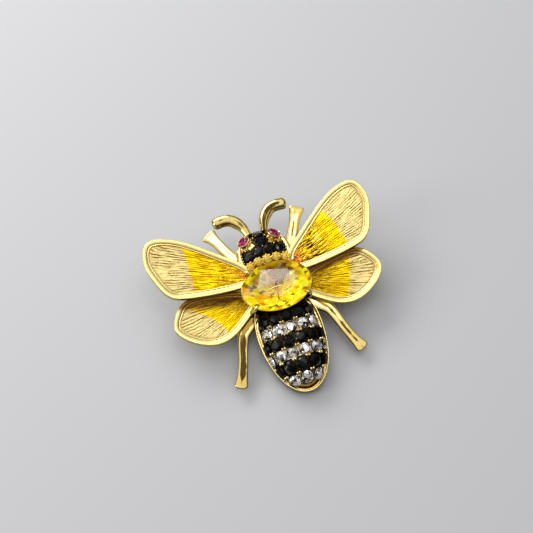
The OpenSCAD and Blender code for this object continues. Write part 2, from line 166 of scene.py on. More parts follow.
floor_finish, tree, shader = material("pale_floor")
wire(tree, shader, Base_Color=(0.62, 0.62, 0.63, 1), Roughness=0.7,
     Normal=bumps(tree, cloud(tree, 900.0, 3.0), 0.05, 0.0002))
floor_mesh = bpy.data.meshes.new("floor")
bm = bmesh.new()
bmesh.ops.create_grid(bm, x_segments=1, y_segments=1, size=600 * mm)
bm.to_mesh(floor_mesh)
bm.free()
floor_mesh.materials.append(floor_finish)
floor = bpy.data.objects.new("floor", floor_mesh)
scene.collection.objects.link(floor)
print("floor", [round(d, 2) for d in floor.dimensions], "m")

# %% Soft panels
def turned(way, front="Z"):
    return way.to_track_quat(front, "Y").to_matrix().to_4x4()


def panel(name, size, power, at):
    """A soft lamp that faces the middle of the brooch; lengths are in metres."""
    lamp = bpy.data.lights.new(name, "AREA")
    lamp.shape, lamp.size, lamp.size_y, lamp.energy = "RECTANGLE", *size, power
    obj = bpy.data.objects.new(name, lamp)
    obj.matrix_world = Matrix.Translation(at) @ turned(Vector((0, 0, 4 * mm)) - Vector(at), "-Z")
    scene.collection.objects.link(obj)


panel("sky_panel", (0.06, 0.045), 0.036, (0.03, 0.032, 0.3))
panel("back_panel", (0.3, 0.12), 0.62, (-0.08, 0.26, 0.18))
panel("left_panel", (0.08, 0.16), 0.16, (-0.26, 0.02, 0.14))

# %% Grey surroundings, darker below and in front
def maths(tree, operation, *values):
    return node(tree, "Math", *values, operation=operation).outputs["Value"]


def total(tree, a, share, b):
    return maths(tree, "MULTIPLY_ADD", a, share, b)


def axis(tree, vector, name):
    return node(tree, "SeparateXYZ", vector).outputs[name]


def ramp(tree, value, tones, kind="CONSTANT"):
    n = node(tree, "ValToRGB", value)
    n.color_ramp.interpolation = kind
    for i, (spot, tone) in enumerate(tones):
        step = n.color_ramp.elements[i] if i < 2 else n.color_ramp.elements.new(spot)
        step.position, step.color = spot, (*tone, 1)
    return n.outputs["Color"]


world = bpy.data.worlds.new("surroundings")
world.use_nodes = True
sky = world.node_tree
away = node(sky, "TexCoord").outputs["Generated"]
lean = total(sky, axis(sky, away, "Y"), 0.25, axis(sky, away, "Z"))
greys = ((0.0, 0.04), (0.42, 0.05), (0.56, 0.22), (0.7, 0.58), (0.84, 0.92), (1.0, 0.92))
tones = [(spot, (tone, tone, tone * 1.02)) for spot, tone in greys]
wire(sky, sky.nodes["Background"], Color=ramp(sky, lean, tones, "LINEAR"))
scene.world = world
scene.view_settings.view_transform = "Standard"
print("greys from low to high:", [tone for spot, tone in greys])

# %% [markdown]
# ## The gilt
# The plating is a pale gold. It is never quite even: its tone drifts, and it is a little pitted
# from the casting. Where a surface turns away from above it is painted darker, as painted shade.
# One node group makes these effects for every gilt part, and each material sets its own grain and
# sheen.

# %% Tools for node groups
def field_group(name, inputs, outputs):
    """A node group; inputs and outputs give each socket's name and type."""
    g = bpy.data.node_groups.new(name, "ShaderNodeTree")
    for sockets, way in ((inputs, "INPUT"), (outputs, "OUTPUT")):
        for label, kind in sockets.items():
            g.interface.new_socket(name=label, in_out=way, socket_type="NodeSocket" + kind)
    return g, g.nodes.new("NodeGroupInput").outputs, g.nodes.new("NodeGroupOutput")


def group_node(tree, group, **inputs):
    n = tree.nodes.new("ShaderNodeGroup")
    n.node_tree = group
    wire(tree, n, **inputs)
    return n.outputs


def between(tree, value, low, high, start=0.0, end=1.0, curve="SMOOTHSTEP"):
    """Goes from start, where the value is low, to end, where it is high."""
    return node(tree, "MapRange", interpolation_type=curve, Value=value, From_Min=low,
                From_Max=high, To_Min=start, To_Max=end).outputs["Result"]


def blend(tree, share, a, b, kind="MIX"):
    return node(tree, "Mix", data_type="RGBA", blend_type=kind,
                Factor=share, A=a, B=b).outputs["Result"]


print("tools:", [f.__name__ for f in (field_group, group_node, between, blend)])

# %% Node group for plated metal
plating, given, out = field_group(
    "plating", dict(Pale="Color", Deep="Color", Grain="Float", Smooth="Float", Rough="Float",
                    Side="Float"), dict(Color="Color", Roughness="Float", Height="Float"))
where = node(plating, "TexCoord").outputs
drift = node(plating, "TexNoise", Vector=where["Object"], Scale=260.0, Detail=4.0).outputs["Fac"]
pits = node(plating, "TexNoise", Vector=where["Object"], Scale=given["Grain"], Detail=5.0,
            Roughness=0.6).outputs["Fac"]
tone = blend(plating, between(plating, drift, 0.35, 0.65, curve="LINEAR"),
             given["Pale"], given["Deep"])
# Painted shade: steep sides keep only a share of the tone, set for each material.
painted_side_shade = between(plating, axis(plating, where["Normal"], "Z"), 0.1, 0.75, given["Side"],
                curve="LINEAR")
wire(plating, out, Color=blend(plating, 1.0, tone, painted_side_shade, "MULTIPLY"), Height=pits,
     Roughness=between(plating, pits, 0.3, 0.7, given["Smooth"], given["Rough"], "LINEAR"))
print("plating takes", [s.name for s in given if s.name])

# %% Gilt finishes
# side is the painted shade on steep sides, the share of the tone kept there; 1.0 paints none.
def gilt(name, pale, deep, smooth, rough, grain=2600.0, relief=0.00002, side=0.42, metal=1.0,
         painted_dark=None):
    m, tree, shader = material(name)
    g = group_node(tree, plating, Pale=(*pale, 1), Deep=(*deep, 1), Grain=grain, Smooth=smooth,
                   Rough=rough, Side=side)
    # The optional darkening is painted: the forewing's painted shade or a painted dark reflection.
    wire(tree, shader, Base_Color=painted_dark(tree, g["Color"]) if painted_dark else g["Color"],
         Roughness=g["Roughness"], Normal=bumps(tree, g["Height"], 1.0, relief), Metallic=metal)
    return m


pale_gold, deep_gold = (1.0, 0.86, 0.42), (0.95, 0.72, 0.24)
polish = dict(grain=300.0, relief=0.00003)
polished_gilt = gilt("polished_gilt", (0.96, 0.77, 0.3), (0.84, 0.6, 0.17), 0.06, 0.15, **polish)
bright_gilt = gilt("bright_gilt", pale_gold, deep_gold, 0.06, 0.14, side=0.6)
# The bed's gold is painted nearly black: painted shade between the stones.
painted_shade_bed_gilt = gilt("painted_shade_bed_gilt", (0.045, 0.028, 0.01), (0.02, 0.014, 0.006), 0.2, 0.35)
edge_gilt = gilt("edge_gilt", pale_gold, deep_gold, 0.06, 0.14, side=0.25)
tail_gilt = gilt("tail_gilt", (0.9, 0.68, 0.25), (0.45, 0.25, 0.05), 0.1, 0.25)
row_gilt = gilt("row_gilt", (1.0, 0.88, 0.6), (0.55, 0.38, 0.16), 0.05, 0.15, grain=1500.0,
                relief=0.00025)
# The collar is gold, tinted orange-yellow with painted light from the yellow gem.
gem_lit_collar_gilt = gilt("gem_lit_collar_gilt", (1.0, 0.82, 0.2), (1.0, 0.58, 0.04), 0.12, 0.24, side=1.0,
                   metal=0.5)
root_gilt = gilt("root_gilt", (1.0, 0.5, 0.12), (1.0, 0.36, 0.08), 0.1, 0.2)
line_gilt = gilt("line_gilt", (0.85, 0.48, 0.13), (0.66, 0.35, 0.08), 0.3, 0.4, side=0.7)
back_gilt = gilt("back_gilt", (0.85, 0.69, 0.36), (0.76, 0.57, 0.26), 0.3, 0.45)
print("gilt finishes:", [m.name for m in bpy.data.materials if "_gilt" in m.name])

# %% [markdown]
# ## Handing a piece over
# Every piece ends the same way: the flat drawing is moved to its place, the mesh becomes an
# object at the origin, and the object rides on the brooch's one body. Most pieces stand for a
# part of the frame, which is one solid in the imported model.

# %% Finish a bmesh as a piece
def piece(bm, name, materials, stands_for=("frame",), close=True, levels=0):
    bmesh.ops.transform(bm, matrix=place, verts=bm.verts)
    if close:
        bmesh.ops.recalc_face_normals(bm, faces=bm.faces)
    for f in bm.faces:
        f.smooth = True
    mesh = bpy.data.meshes.new(name)
    bm.to_mesh(mesh)
    bm.free()
    for m in materials:
        mesh.materials.append(m)
    obj = bpy.data.objects.new(name, mesh)
    scene.collection.objects.link(obj)
    if levels:
        sub = obj.modifiers.new("rounded", "SUBSURF")
        sub.levels = sub.render_levels = levels
    else:
        mesh.set_sharp_from_angle(angle=math.radians(80))
    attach(obj, "root")
    if stands_for:
        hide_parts(*stands_for)
    print(name, "faces", len(mesh.polygons))


print("the drawing's origin goes to", [round(c, 4) for c in place.translation], "m")

# %% [markdown]
# ## Wings: outline and rim
# Each wing is a flat plate with a smooth rim, a thin engraved double line inside it, and a
# sunken field. Its outline is a soft curve round a few corners. The plate starts as one face,
# which is extruded, bevelled and then inset again and again: band, groove, line, sunken field.

# %% Outline curves
def arc(a, b, d, t):
    return a * (1 - t) ** 2 + 2 * b * t * (1 - t) + d * t * t


def smooth_loop(corners, steps=16):
    loop = []
    for i, b in enumerate(corners):
        a, b, d = (Vector(c) for c in (corners[i - 1], b, corners[(i + 1) % len(corners)]))
        loop += [arc((a + b) / 2, b, (b + d) / 2, k / steps) for k in range(steps)]
    return loop


def even_loop(loop, count):
    gaps = [(loop[(i + 1) % len(loop)] - p).length for i, p in enumerate(loop)]
    step, out, run, i = sum(gaps) / count, [], 0.0, 0
    for k in range(count):
        while run + gaps[i] < k * step:
            run += gaps[i]
            i += 1
        out.append(loop[i].lerp(loop[(i + 1) % len(loop)], (k * step - run) / gaps[i]))
    return out


corners = {
    "fore": [(0.16, 0.23), (0.38, 0.41), (0.63, 0.61), (0.82, 0.69), (0.95, 0.68), (1.01, 0.51),
             (0.96, 0.33), (0.89, 0.17), (0.77, 0.11), (0.37, 0.06), (0.13, 0.07)],
    "hind": [(0.21, 0.04), (0.54, 0.12), (0.77, 0.13), (0.88, 0.02), (0.93, -0.11),
             (0.82, -0.24), (0.64, -0.33), (0.47, -0.31), (0.3, -0.19), (0.17, -0.08)]}
outlines = {kind: even_loop([v * half_span for v in smooth_loop(c)], 240)
            for kind, c in corners.items()}
print("outline points:", {k: len(v) for k, v in outlines.items()})

# %% Where a wing lies
# Each wing rises by 3 degrees towards its tip; the left ones are mirrored.
underside, upward = {"fore": 2.2, "hind": 1.0}, math.radians(3)


def wing_way(side, kind):
    flip = Matrix.Diagonal((side, 1, 1, 1))
    return (flip @ Matrix.Translation((0, 0, underside[kind]))
            @ Matrix.Rotation(-upward, 4, "Y"))


tip = wing_way(1, "fore") @ Vector((half_span, 0, 0))
print("a forewing's tip lies", round(tip.z, 2), "mm above the flat back")

# %% How far a hindwing lies in the forewing's shade
# The forewing's lowest y at every half millimetre of x; beyond the wing there is none.
rear_edge, no_edge = {}, 99
for p in outlines["fore"]:
    for k in (math.floor(p.x * 2), math.ceil(p.x * 2)):
        rear_edge[k] = min(rear_edge.get(k, no_edge), p.y)
deepest_shade, shade_reach = 1.25, {-1: 2.0, 1: 1.2}


def clamp(v):
    return max(0.0, min(1.0, v))


def shaded(kind, side, x, y):
    """Deepest under the forewing's edge, falling to 0 at 1.2 times the reach in mm."""
    gap = rear_edge.get(round(x * 2), no_edge) - y
    return deepest_shade * clamp(1.2 - gap / shade_reach[side]) if kind == "hind" else 0.0


print("shade at the hindwing's front edge:", round(shaded("hind", -1, 11, 1.2), 2))

# %% Plate with rounded edges and inset rings
def upper_face(bm):
    return max((f for f in bm.faces if f.normal.z > 0.9), key=lambda f: f.calc_area())


def ringed_plate(loop, height, edge, insets):
    """Each inset is (width, rise, material) of one more ring towards the middle."""
    bm = bmesh.new()
    base = bm.faces.new([bm.verts.new((p.x, p.y, 0)) for p in loop])
    raised = bmesh.ops.extrude_face_region(bm, geom=[base])["geom"]
    bmesh.ops.translate(bm, vec=(0, 0, height),
                        verts=[g for g in raised if isinstance(g, bmesh.types.BMVert)])
    bmesh.ops.recalc_face_normals(bm, faces=bm.faces)
    bm.normal_update()
    bmesh.ops.bevel(bm, geom=list(upper_face(bm).edges), offset=edge, segments=3, profile=0.5,
                    affect="EDGES", material=-1)
    bm.normal_update()
    top = upper_face(bm)
    for width, rise, finish in insets:
        ring = bmesh.ops.inset_region(bm, faces=[top], thickness=width, depth=rise,
                                      use_even_offset=True, use_boundary=True)["faces"]
        for f in ring:
            f.material_index = finish
    return bm, top


bm, top = ringed_plate(outlines["hind"], 1.0, 0.1, ())
print("a plain plate has", len(bm.faces), "faces")
bm.free()

# %% Wing plate
# From the rim inwards: flat band, groove down, groove's floor, groove up, ledge, step down.
plate_t = 0.9


def wing_plate(kind, side):
    bm, top = ringed_plate(outlines[kind], plate_t, 0.1,
                           ((0.62, 0, 0), (0.03, -0.05, 1), (0.06, 0, 1), (0.03, 0.04, 0),
                            (0.16, 0, 0), (0.05, -0.12, 1)))
    field = [v.co.copy() for v in top.verts]
    bm.faces.remove(top)
    shade = bm.verts.layers.float.new("shade")
    for v in bm.verts:
        v[shade] = shaded(kind, side, v.co.x, v.co.y)
    return bm, field


bm, edge = wing_plate("fore", 1)
print("plate faces", len(bm.faces), "field height", round(edge[0].z, 2))
bm.free()

# %% [markdown]
# ## Wings: the ridged field
# The field is cast with fine wavy ridges that fan out from the wing's root. A flat grid is
# laid over it like a fan: each column of the grid is one ray, cut off where the ray enters
# and leaves the field. The ridges are then raised on the grid as real relief. Four numbers are
# kept at each point for the finishes: how high it lies on its ridge (`crest`), how far inside
# the edge of the enamel (`inside`), how deeply the root was cut (`carved`), and its `shade`.

# %% Fans of ridges and the enamel's edge
# Where each fan starts and how many ridges it has; how deeply the root of each wing is cut,
# which also sets the strength of its painted zebra reflection; and three points of the enamel's
# edge on each wing, as (y, x) in mm.
fans = {"fore": (Vector((-0.24, 0.01)) * half_span, 20),
        "hind": (Vector((0.11, 0.01)) * half_span, 18)}
carved = {("fore", -1): 0.12, ("fore", 1): 1.0, ("hind", -1): 0.45, ("hind", 1): 0.4}
enamel_edge = {("fore", -1): ((10.25, 12.2), (6.52, 12.4), (3.15, 12.45)),
               ("fore", 1): ((9.47, 11.05), (6.1, 12.56), (2.92, 13.11)),
               ("hind", -1): ((-0.71, 12.4), (-2.7, 10.44), (-5.04, 9.4)),
               ("hind", 1): ((0.64, 12.75), (-2.35, 11.84), (-4.85, 10.6))}


def inside_enamel(kind, side, x, y):
    """Distance from the parabola through the three points of the edge."""
    (y0, x0), (y1, x1), (y2, x2) = enamel_edge[kind, side]
    bound = (x0 * (y - y1) * (y - y2) / ((y0 - y1) * (y0 - y2))
             + x1 * (y - y0) * (y - y2) / ((y1 - y0) * (y1 - y2))
             + x2 * (y - y0) * (y - y1) / ((y2 - y0) * (y2 - y1)))
    return bound - x


print("the left forewing's enamel ends", round(inside_enamel("fore", -1, 0, 6.5), 2),
      "mm out from the bee's middle line")

# %% Height of the ridges
def waver(x, y, seed):
    return noise.noise(Vector((x, y, seed)))


def ridge(kind, side, x, y, across):
    """Height on the relief: flat crests near 1, narrow furrows of uneven depth near 0."""
    seed = 7.3 * side + (0 if kind == "fore" else 31)
    phase = across * fans[kind][1] + (waver(x * 0.25, y * 0.6, seed) * 0.6
                                      + waver(x * 0.9, y * 1.9, seed + 5) * 0.14)
    height = 1.0
    for fold, sharp, depth, spread in ((1, 4, 0.6, 1.5), (2.37, 5, 0.2, 1.2)):
        s = fold * phase + 0.3 * fold
        furrow = abs(2 * (s - math.floor(s)) - 1) ** sharp
        height -= furrow * clamp(depth + spread * waver(x * 0.55, s * 0.9, seed + 9 * fold))
    return clamp(height + 0.1 * waver(x * 2.5, y * 2.5, seed + 3))


heights = [ridge("fore", 1, 14, 6, k / 100) for k in range(101)]
print("heights on the relief", round(min(heights), 2), "to", round(max(heights), 2))

# %% Where a ray enters and leaves the field
def ray_span(centre, angle, loop):
    way = Vector((math.cos(angle), math.sin(angle)))
    hits = []
    for i, p in enumerate(loop):
        a, b = p.xy - centre, loop[(i + 1) % len(loop)].xy - centre
        sa, sb = way.cross(a), way.cross(b)
        if (sa <= 0) != (sb <= 0):
            hits.append(way.dot(a.lerp(b, sa / (sa - sb))))
    return (min(hits), max(hits)) if hits else None


across_fore = ray_span(fans["fore"][0], math.radians(25), outlines["fore"])
print("the ray at 25 degrees crosses the forewing at", [round(d, 1) for d in across_fore], "mm")

# %% Grid of one wing's field
# The ridges stand lift mm high, twice that where the root is carved, in a field sunk a little;
# they fade out near the rim. The carving starts some way inside the enamel.
lift, sunk, fade = 0.11, 0.05, 0.25
carving_from, carving_over = 2.2, 2.5
streaks_per_radian = 14


def face_up(bm):
    """An open sheet can't tell its inside from its outside, so it is made to face up."""
    bm.normal_update()
    if sum(f.normal.z for f in bm.faces) < 0:
        bmesh.ops.reverse_faces(bm, faces=bm.faces)


def wing_field(kind, side, edge, across=260, along=90):
    centre = fans[kind][0]
    angles = [math.atan2(p.y - centre.y, p.x - centre.x) for p in edge]
    a0, a1 = min(angles) + 1e-4, max(angles) - 1e-4
    rays = [a0 + (a1 - a0) * 0.5 * (1 - math.cos(math.pi * i / across)) for i in range(across + 1)]
    spans, last = [], None
    for a in rays:
        last = ray_span(centre, a, edge) or last
        spans.append(last)
    bm = bmesh.new()
    bmesh.ops.create_grid(bm, x_segments=across, y_segments=along, size=0.5)
    crest, inside, shade, cut = (bm.verts.layers.float.new(name)
                                 for name in ("crest", "inside", "shade", "carved"))
    uv = bm.loops.layers.uv.new("fan")
    flat = {}
    for v in bm.verts:
        i, t = round((v.co.x + 0.5) * across), v.co.y + 0.5
        a, (near, far) = rays[i], spans[i]
        r = near + (far - near) * t
        x, y = centre.x + r * math.cos(a), centre.y + r * math.sin(a)
        border = min(r - near, far - r, 0.5 * r * min(a - a0, a1 - a))
        v[crest] = ridge(kind, side, x, y, (a - a0) / (a1 - a0))
        v[inside] = inside_enamel(kind, side, x, y)
        v[cut] = carved[kind, side] * clamp((v[inside] - carving_from) / carving_over)
        v[shade] = shaded(kind, side, x, y)
        rise = (lift * (1 + v[cut]) * v[crest] - sunk) * clamp(border / fade)
        v.co = (x, y, edge[0].z + rise)
        flat[v] = (r, streaks_per_radian * (a - (a0 + a1) / 2))
    for f in bm.faces:
        for loop in f.loops:
            loop[uv].uv = flat[loop.vert]
    bmesh.ops.transform(bm, matrix=wing_way(side, kind), verts=bm.verts)
    face_up(bm)
    return bm


print("ridges", lift, "mm high, and", 2 * lift, "mm where they are carved deepest")

# %% Bare and enamelled parts of a field
def part_of(bm, enamelled):
    """The two parts meet 1 mm outside the drawn edge, where no enamel is left."""
    out = bm.copy()
    layer = out.verts.layers.float["inside"]
    gone = [f for f in out.faces
            if (sum(v[layer] for v in f.verts) / len(f.verts) > -1.0) != enamelled]
    bmesh.ops.delete(out, geom=gone, context="FACES")
    return out


edge = [Vector((*p, plate_t)) for p in outlines["fore"]]
grid = wing_field("fore", 1, edge)
for enamelled in (False, True):
    half = part_of(grid, enamelled)
    print("enamelled" if enamelled else "bare", "faces", len(half.faces))
    half.free()
grid.free()

# %% [markdown]
# ## Finishes of the wings
# On the bare part the ridge tops are rubbed pale and the furrows between them keep a brown
# tone. Over the enamelled part lies a clear yellow colour: thin and bright on the crests,
# deep amber in the furrows, and orange towards the root, where it is thickest. Its edge was
# drawn with a brush, so it runs out a little along the ridges. The same numbers drive both
# finishes, so the two fields meet without a seam, and `shade` darkens both and the rim.

# %% Node groups for the ridges and for the shaded corner
def attribute(tree, name):
    return node(tree, "Attribute", attribute_name=name).outputs["Fac"]


ridges, given, out = field_group("ridges", dict(Crest="Color", Furrow="Color"),
                                 dict(Color="Color", Relief="Float", Streak="Float"))
fan = node(ridges, "UVMap", uv_map="fan").outputs["UV"]
stretch = node(ridges, "Mapping", Vector=fan, Scale=(0.4, 2.9, 1.0)).outputs["Vector"]
streak = node(ridges, "TexNoise", Vector=stretch, Scale=1.5, Detail=3.0,
              Roughness=0.5).outputs["Fac"]
tops = between(ridges, total(ridges, streak, 1.1, attribute(ridges, "crest")), 0.85, 1.55)
wire(ridges, out, Color=blend(ridges, tops, given["Furrow"], given["Crest"]), Relief=tops,
     Streak=streak)

corner, given, out = field_group("shaded_corner", dict(Color="Color"), dict(Color="Color"))
dark = between(corner, total(corner, cloud(corner, 900.0, 4.0), 0.5, attribute(corner, "shade")),
               0.35, 1.15)
wire(corner, out, Color=blend(corner, dark, given["Color"], (0.22, 0.1, 0.012, 1)))


def shaded_color(tree, color):
    return group_node(tree, corner, Color=color)["Color"]


print("node groups:", [g.name for g in bpy.data.node_groups])

# %% Ridged gilt and yellow enamel
crest_gold, furrow_gold = (0.78, 0.62, 0.24, 1), (0.5, 0.3, 0.07, 1)
field_gilt, tree, shader = material("field_gilt")
bare = group_node(tree, ridges, Crest=crest_gold, Furrow=furrow_gold)
wire(tree, shader, Base_Color=shaded_color(tree, bare["Color"]), Metallic=1.0, Roughness=0.3,
     Normal=bumps(tree, bare["Streak"], 0.6, 0.00008))

enamel, tree, shader = material("yellow_enamel")
bare = group_node(tree, ridges, Crest=crest_gold, Furrow=furrow_gold)
thick = group_node(tree, ridges, Crest=(1.0, 0.7, 0.004, 1), Furrow=(0.72, 0.27, 0.0, 1))
rooted = group_node(tree, ridges, Crest=(1.0, 0.64, 0.015, 1), Furrow=(0.6, 0.24, 0.003, 1))
inside, near_root = attribute(tree, "inside"), attribute(tree, "carved")
brushed = total(tree, bare["Streak"], 2.0, total(tree, bare["Relief"], -0.5, inside))
cover = between(tree, brushed, 0.56, 0.82)
tint = blend(tree, between(tree, inside, 4.0, 9.0), thick["Color"], rooted["Color"])
# Near the root, dark strokes are a painted reflection and pale strokes a painted highlight.
for low, high, tone in ((0.47, 0.42, (0.12, 0.045, 0.0, 1)), (0.56, 0.63, (1.0, 0.88, 0.3, 1))):
    zebra_reflection = maths(tree, "MULTIPLY", between(tree, bare["Streak"], low, high), near_root)
    tint = blend(tree, zebra_reflection, tint, tone)
tint = blend(tree, between(tree, inside, 7.2, 8.8), tint, (1.0, 0.36, 0.1, 1))
skin = blend(tree, cover, bare["Color"], tint)
swelling = between(tree, near_root, 0.0, 1.0, 1.0, 4.0, "LINEAR")
wire(tree, shader, Base_Color=shaded_color(tree, skin), Metallic=1.0,
     Roughness=between(tree, inside, 3.0, 7.0, 0.28, 0.1),
     Normal=bumps(tree, maths(tree, "MULTIPLY", bare["Streak"], swelling), 0.7, 0.0001),
     Coat_Weight=maths(tree, "MULTIPLY", cover, 0.06), Coat_Roughness=0.06)

rim_gilt = gilt("rim_gilt", (1.0, 0.86, 0.34), (1.0, 0.79, 0.27), 0.24, 0.36, side=0.48,
                painted_dark=shaded_color)
print("wing finishes:", field_gilt.name, enamel.name, rim_gilt.name)

# %% Build the four wings
for side in (-1, 1):
    for kind in ("fore", "hind"):
        plate, edge = wing_plate(kind, side)
        bmesh.ops.transform(plate, matrix=wing_way(side, kind), verts=plate.verts)
        bmesh.ops.recalc_face_normals(plate, faces=plate.faces)
        grid = wing_field(kind, side, edge)
        label = kind + "_" + side_names[side]
        piece(plate, "wing_rim_" + label, [rim_gilt, line_gilt])
        piece(part_of(grid, False), "wing_field_" + label, [field_gilt], (), close=False)
        piece(part_of(grid, True), "enamel_field_" + label, [enamel], ["enamel_" + label],
              close=False)
        grid.free()

# %% [markdown]
# ## Limbs
# Legs and antennae are swept bars: a ring of points is extruded from station to station along
# a path, and every station sets its own width and thickness. A subdivision rounds them, as
# the polishing wheel does. A painted dark reflection lies in the hollow along the top.

# %% Sweep a ring along stations
def sweep(bm, stations, up=(0, 0, 1), groove=0.0, dark=1.0):
    """Each station is (point, width, thickness); a groove can run along the top.

    The attribute `hollow` is the strength of the painted dark reflection along the top and far
    below it elsewhere. The last four stations, the foot or the tip, carry little of it."""
    sides, last, top, tip_darkness, drop = 8, len(stations) - 1, 0.49, 0.2, 1.35
    hollow = bm.verts.layers.float.get("hollow") or bm.verts.layers.float.new("hollow")
    ring = bmesh.ops.create_circle(bm, cap_ends=True, radius=0.5, segments=sides)["verts"]
    face = ring[0].link_faces[0]
    unit = [v.co.copy() for v in ring]
    for i, (p, w, t) in enumerate(stations):
        ahead = (stations[min(i + 1, last)][0] - stations[max(i - 1, 0)][0]).normalized()
        across = ahead.cross(Vector(up)).normalized()
        lift = across.cross(ahead)
        if i:
            out = bmesh.ops.extrude_face_region(bm, geom=[face])["geom"]
            if i > 1:
                bm.faces.remove(face)
            face = next(g for g in out if isinstance(g, bmesh.types.BMFace))
            ring = [g for g in out if isinstance(g, bmesh.types.BMVert)]
            ring.sort(key=lambda v: min(range(sides), key=lambda k: (v.co - old[k]).length))
        tone = dark if i < last - 3 else tip_darkness
        for v, u in zip(ring, unit):
            v[hollow] = tone if u.y > top else tone - drop
            v.co = p + across * (u.x * w) + lift * (u.y * t * (1 - groove * (u.y > top)))
        old = [v.co.copy() for v in ring]


bm = bmesh.new()
sweep(bm, [(Vector((0, k, 0)), 1, 1) for k in range(5)])
print("a bar of five stations has", len(bm.faces), "faces")
bm.free()

# %% Gilt with a painted dark reflection in the hollow
def painted_groove_reflection(tree, color):
    # Painted reflection: a dark tone along the top of each limb, broken up by a cloud.
    dark_reflection = total(tree, cloud(tree, 420.0, 2.0), 2.0, attribute(tree, "hollow"))
    return blend(tree, between(tree, dark_reflection, 1.25, 1.65), color, (0.11, 0.065, 0.012, 1))


limb_gilt = gilt("limb_gilt", (1.0, 0.82, 0.34), (0.86, 0.62, 0.18), 0.06, 0.15, side=0.34,
                 painted_dark=painted_groove_reflection, **polish)
print("limb finish:", limb_gilt.name)

# %% Antennae
# The path is in shares of half the span, the tip in mm: (onward, width, thickness).
head_r = 4.15
head_y = gem_b + 0.47 * head_r
antenna_path = ((0.08, 0.565, 0.08), (0.12, 0.65, 0.07), (0.2, 0.72, 0.065), (0.285, 0.71, 0.06))
antenna_tip = ((0.35, 2.3, 1.8), (0.7, 1.9, 1.5), (0.98, 1.0, 0.85))


def smooth_path(points, steps=4):
    out = [points[0]]
    for i in range(1, len(points) - 1):
        b = points[i]
        a = points[0] if i == 1 else (points[i - 1] + b) / 2
        d = points[-1] if i == len(points) - 2 else (b + points[i + 1]) / 2
        out += [arc(a, b, d, (k + 0.5) / steps) for k in range(steps)]
    return out + [points[-1]]


def at(point):
    return Vector(point) * half_span


def antenna():
    root = Vector((0.32 * head_r, head_y + 0.855 * head_r, 0.41 * head_r))
    path = smooth_path([root] + [at(p) for p in antenna_path])
    way = (path[-1] - path[-2]).normalized()
    stations = []
    for i, p in enumerate(path):
        w = min(1.0, i / 7)
        stations.append((p, antenna_d * (0.98 + 0.88 * w), antenna_d * (0.95 + 0.55 * w)))
    return stations + [(path[-1] + way * out, w, t) for out, w, t in antenna_tip]


print("antenna stations:", len(antenna()))

# %% Legs
# A leg is (shaft: x, y, z, width, thickness), ankle, toe, (foot: share from ankle to toe,
# width, thickness). Places are shares of half the span; widths and thicknesses are in mm.
legs = {
    "front_leg": (((0.18, 0.22, 0.075, 2.2, 1.0), (0.3, 0.425, 0.09, 1.95, 1.05),
                   (0.335, 0.5, 0.097, 1.85, 1.0)), (0.355, 0.54, 0.1), (0.39, 0.6, 0.1),
                  ((0, 1.95, 1.0), (0.6, 2.25, 1.0), (1, 2.7, 1.0), (1.3, 2.9, 1.0),
                   (1.44, 2.3, 0.8))),
    "rear_leg": (((0.18, -0.04, 0.043, 3.0, 0.95), (0.28, -0.19, 0.043, 2.9, 1.0),
                  (0.345, -0.252, 0.046, 2.5, 1.0), (0.383, -0.293, 0.048, 2.1, 1.0),
                  (0.4, -0.345, 0.048, 1.85, 1.0), (0.42, -0.405, 0.048, 1.75, 0.95),
                  (0.45, -0.51, 0.048, 1.65, 0.95)), (0.495, -0.62, 0.048),
                 (0.525, -0.685, 0.048), ((0, 1.8, 0.95), (0.6, 2.1, 0.95), (1, 2.35, 0.9),
                                          (1.25, 2.35, 0.85), (1.5, 1.5, 0.6)))}


def leg(name):
    shaft, ankle, toe, foot = legs[name]
    return ([(at(s[:3]), *s[3:]) for s in shaft]
            + [(at(ankle).lerp(at(toe), share), w, t) for share, w, t in foot])


print("leg stations:", {name: len(leg(name)) for name in legs})

# %% Sweep the six limbs
# How dark the painted reflection in the hollow is on each side.
darkness = {"antenna": {-1: 0.4, 1: 0.95}, "front_leg": {-1: 0.3, 1: 0.75},
            "rear_leg": {-1: 1.35, 1: 0.9}}
for side in (-1, 1):
    for name in darkness:
        bm = bmesh.new()
        sweep(bm, antenna() if name == "antenna" else leg(name),
              groove=0.0 if name == "antenna" else 0.5, dark=darkness[name][side])
        bmesh.ops.transform(bm, matrix=Matrix.Diagonal((side, 1, 1, 1)), verts=bm.verts)
        piece(bm, name + "_" + side_names[side], [limb_gilt], levels=2)

# %% [markdown]
# ## Abdomen
# A thin upright rim runs round an egg-shaped shell, and the stones sit on a dome inside it.
# The shell starts as one egg-shaped face, extruded and inset like the wing plates. The dome
# is a grid laid over the egg, each row bent to a half ellipse.

# %% Egg shape
stone_pitch = stone_d + stone_gap
dome_half, dome_rise, ledge_z = 2.29 * stone_pitch, 1.42 * stone_pitch, 1.1
dome_top_y = -0.09 * gem_b
dome_mid, dome_len = (dome_top_y + dome_end) / 2, (dome_top_y - dome_end) / 2


def swell(y):
    u = (y - dome_mid) / dome_len
    return math.sqrt(max(0.0, 1 - abs(u) ** 2.3))


def half_at(y):
    return dome_half * swell(y) * (1 + 0.1 * (y - dome_mid) / dome_len)


def belly_z(x, y):
    return ledge_z + dome_rise * swell(y) * math.sqrt(max(0.0, 1 - (x / half_at(y)) ** 2))


print("abdomen", round(2 * half_at(dome_mid), 2), "mm wide")

# %% Abdomen shell
def belly_edge(grow, count=160):
    loop = []
    for i in range(count):
        u = 2 * math.pi * i / count
        y = dome_mid + dome_len * math.cos(u)
        x = math.copysign(half_at(y), math.sin(u)) if i % (count // 2) else 0.0
        loop.append(Vector((x, y)))
    loop, grown = even_loop(loop, count), []
    for i, p in enumerate(loop):
        way = (loop[(i + 1) % count] - loop[i - 1]).normalized()
        grown.append(p + Vector((way.y, -way.x)) * -grow)
    return grown


